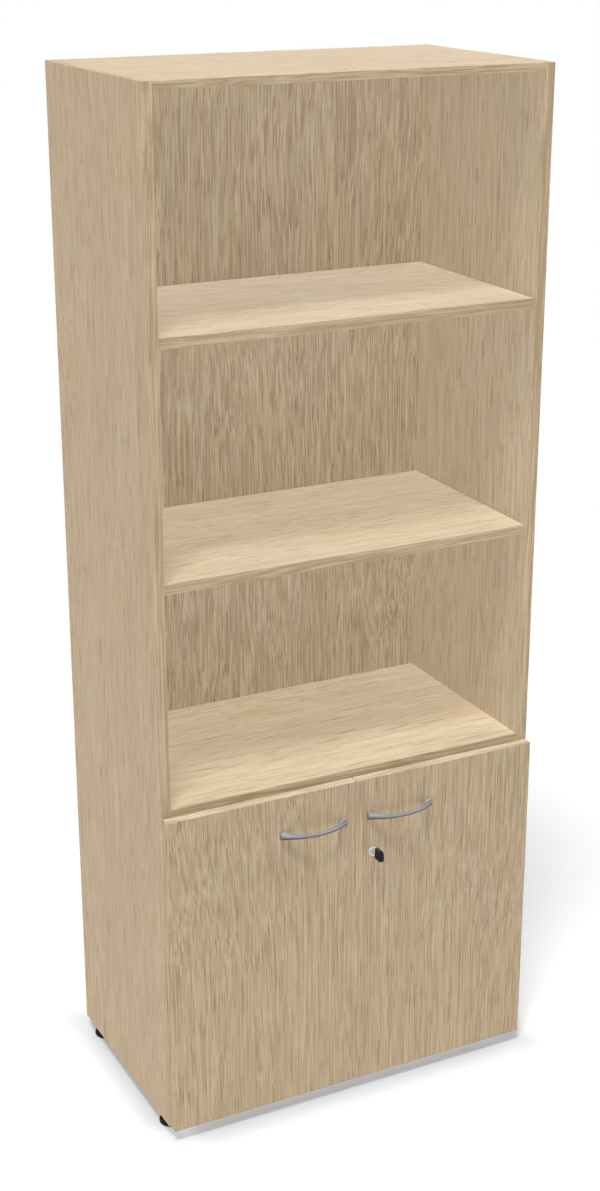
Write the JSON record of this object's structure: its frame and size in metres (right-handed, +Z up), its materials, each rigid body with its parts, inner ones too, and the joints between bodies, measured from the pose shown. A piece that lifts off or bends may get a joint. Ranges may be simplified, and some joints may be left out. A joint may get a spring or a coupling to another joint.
{
  "type": "bookcase with cabinet doors",
  "caption": "Tall oak-decor office bookcase: open bays over a lockable two-door cupboard, with loose shelves on pins, cup hinges, bow handles, a cam lock and levelling feet.",
  "frame": {"origin": "on the floor, at the bottom centre of the bounding box, which runs from the head of the key in front to the rear edges of the sides", "axes": "+Z up, +X to the viewer's right when facing the doors, +Y to the back"},
  "size_m": [0.752, 0.4794, 1.9],
  "materials": {
    "oak_board": "pale bleached oak decor with a fine straight grain, satin; the grain runs upright on sides, back and doors and across on the shelves and the top",
    "satin_metal": "satin grey plated bow handles",
    "nickel_plate": "nickel plated steel",
    "cast_zinc": "die-cast zinc alloy, plated, slightly grained",
    "black_plastic": "black moulded plastic, fine texture",
    "grey_plastic": "light grey moulded plastic",
    "clear_rubber": "milky translucent soft plastic"
  },
  "bodies": {
    "carcass": {"side_panel_left": "oak_board", "side_panel_right": "oak_board", "top_panel": "oak_board", "bottom_panel": "oak_board", "back_panel": "oak_board", "fixed_shelf": "oak_board", "pin_upper_front_left": "nickel_plate", "pin_upper_front_right": "nickel_plate", "pin_upper_back_left": "nickel_plate", "pin_upper_back_right": "nickel_plate", "pin_middle_front_left": "nickel_plate", "pin_middle_front_right": "nickel_plate", "pin_middle_back_left": "nickel_plate", "pin_middle_back_right": "nickel_plate", "pin_cupboard_front_left": "nickel_plate", "pin_cupboard_front_right": "nickel_plate", "pin_cupboard_back_left": "nickel_plate", "pin_cupboard_back_right": "nickel_plate", "hinge_arm_left_top": "nickel_plate", "hinge_arm_left_bottom": "nickel_plate", "hinge_arm_right_top": "nickel_plate", "hinge_arm_right_bottom": "nickel_plate", "foot_socket_front_left": "grey_plastic", "foot_socket_front_right": "grey_plastic", "foot_socket_back_left": "grey_plastic", "foot_socket_back_right": "grey_plastic"},
    "shelf_upper": {"shelf_upper": "oak_board"},
    "shelf_middle": {"shelf_middle": "oak_board"},
    "shelf_cupboard": {"shelf_cupboard": "oak_board"},
    "door_left": {"door_left": "oak_board", "handle_left": "satin_metal", "handle_screw_left_inner": "nickel_plate", "handle_screw_left_outer": "nickel_plate", "hinge_cup_left_top": "nickel_plate", "hinge_cup_left_bottom": "nickel_plate", "bolt_guide": "cast_zinc", "strike_block": "black_plastic", "door_buffer_left": "clear_rubber"},
    "door_right": {"door_right": "oak_board", "handle_right": "satin_metal", "handle_screw_right_inner": "nickel_plate", "handle_screw_right_outer": "nickel_plate", "hinge_cup_right_top": "nickel_plate", "hinge_cup_right_bottom": "nickel_plate", "lock_housing": "cast_zinc", "door_buffer_right": "clear_rubber"},
    "hinge_links_left": {"hinge_link_left_top": "nickel_plate", "hinge_link_left_bottom": "nickel_plate"},
    "hinge_links_right": {"hinge_link_right_top": "nickel_plate", "hinge_link_right_bottom": "nickel_plate"},
    "bolt": {"bolt_slide": "nickel_plate"},
    "lock_barrel": {"lock_barrel": "nickel_plate", "lock_cam": "nickel_plate", "lock_cam_screw": "nickel_plate"},
    "key": {"key_blade": "nickel_plate", "key_head": "black_plastic"},
    "foot_front_left": {"foot_glide_front_left": "black_plastic"},
    "foot_front_right": {"foot_glide_front_right": "black_plastic"},
    "foot_back_left": {"foot_glide_back_left": "black_plastic"},
    "foot_back_right": {"foot_glide_back_right": "black_plastic"}
  },
  "joints": [
    {"name": "door_left_swing", "type": "hinge", "parent": "carcass", "child": "door_left", "pos_m": [-0.368, -0.19175, 0.3415], "axis": [0, 0, -1], "range_deg": [0, 110]},
    {"name": "door_right_swing", "type": "hinge", "parent": "carcass", "child": "door_right", "pos_m": [0.368, -0.19175, 0.3415], "axis": [0, 0, 1], "range_deg": [0, 110]},
    {"name": "hinge_links_left_turn", "type": "hinge", "parent": "carcass", "child": "hinge_links_left", "pos_m": [-0.35, -0.19225, 0.3415], "axis": [0, 0, -1], "range_deg": [-52, 0]},
    {"name": "hinge_links_right_turn", "type": "hinge", "parent": "carcass", "child": "hinge_links_right", "pos_m": [0.35, -0.19225, 0.3415], "axis": [0, 0, 1], "range_deg": [-52, 0]},
    {"name": "lock_turn", "type": "hinge", "parent": "door_right", "child": "lock_barrel", "pos_m": [0.035, -0.18175, 0.5075], "axis": [0, 1, 0], "range_deg": [0, 90]},
    {"name": "key_withdraw", "type": "slide", "parent": "lock_barrel", "child": "key", "axis": [0, -1, 0], "range_m": [0, 0.03]},
    {"name": "bolt_slide_up", "type": "slide", "parent": "door_left", "child": "bolt", "axis": [0, 0, 1], "range_m": [0, 0.012]},
    {"name": "shelf_upper_lift", "type": "slide", "parent": "carcass", "child": "shelf_upper", "axis": [0, 0, 1], "range_m": [0, 0.38]},
    {"name": "shelf_middle_lift", "type": "slide", "parent": "carcass", "child": "shelf_middle", "axis": [0, 0, 1], "range_m": [0, 0.38]},
    {"name": "shelf_cupboard_lift", "type": "slide", "parent": "carcass", "child": "shelf_cupboard", "axis": [0, 0, 1], "range_m": [0, 0.18]},
    {"name": "foot_front_left_adjust", "type": "slide", "parent": "carcass", "child": "foot_front_left", "axis": [0, 0, -1], "range_m": [0, 0.012]},
    {"name": "foot_front_right_adjust", "type": "slide", "parent": "carcass", "child": "foot_front_right", "axis": [0, 0, -1], "range_m": [0, 0.012]},
    {"name": "foot_back_left_adjust", "type": "slide", "parent": "carcass", "child": "foot_back_left", "axis": [0, 0, -1], "range_m": [0, 0.012]},
    {"name": "foot_back_right_adjust", "type": "slide", "parent": "carcass", "child": "foot_back_right", "axis": [0, 0, -1], "range_m": [0, 0.012]}
  ],
  "couplings": [
    {"joint": "hinge_links_left_turn", "follows": "door_left_swing", "ratio": -0.466},
    {"joint": "hinge_links_right_turn", "follows": "door_right_swing", "ratio": -0.466}
  ]
}
